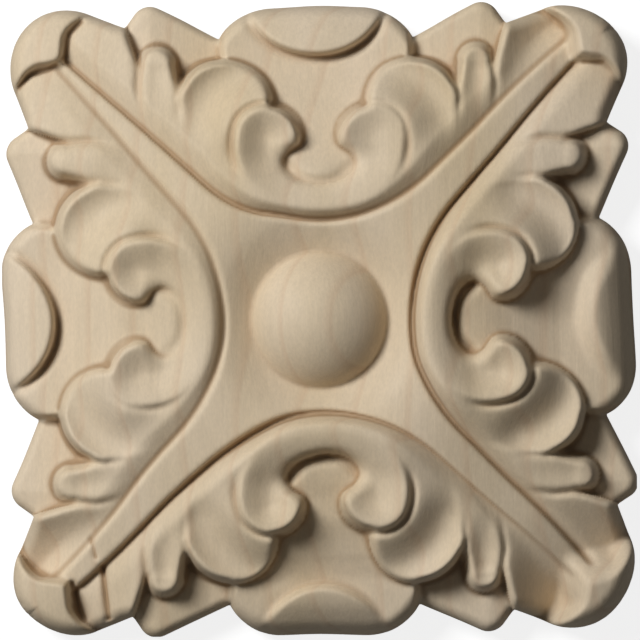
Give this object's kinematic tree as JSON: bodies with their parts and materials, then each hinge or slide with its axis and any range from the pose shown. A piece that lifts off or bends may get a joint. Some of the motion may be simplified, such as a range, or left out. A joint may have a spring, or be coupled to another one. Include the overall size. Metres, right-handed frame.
{
  "type": "corner rosette block",
  "caption": "Square carved wood corner block with a round centre boss, ribs that run to the corners, and acanthus scrolls between them; flat at the back, set where trim meets at a corner.",
  "frame": {"origin": "centre of the flat back face", "axes": "the block lies on its back: +Z points out of the carved face, +Y to the top of the carving and +X to its right"},
  "size_m": [0.09, 0.09, 0.019],
  "materials": {
    "wood": "bare, sanded and unfinished pale hardwood, matt"
  },
  "bodies": {
    "root": {"rosette_block": "wood"}
  },
  "joints": []
}
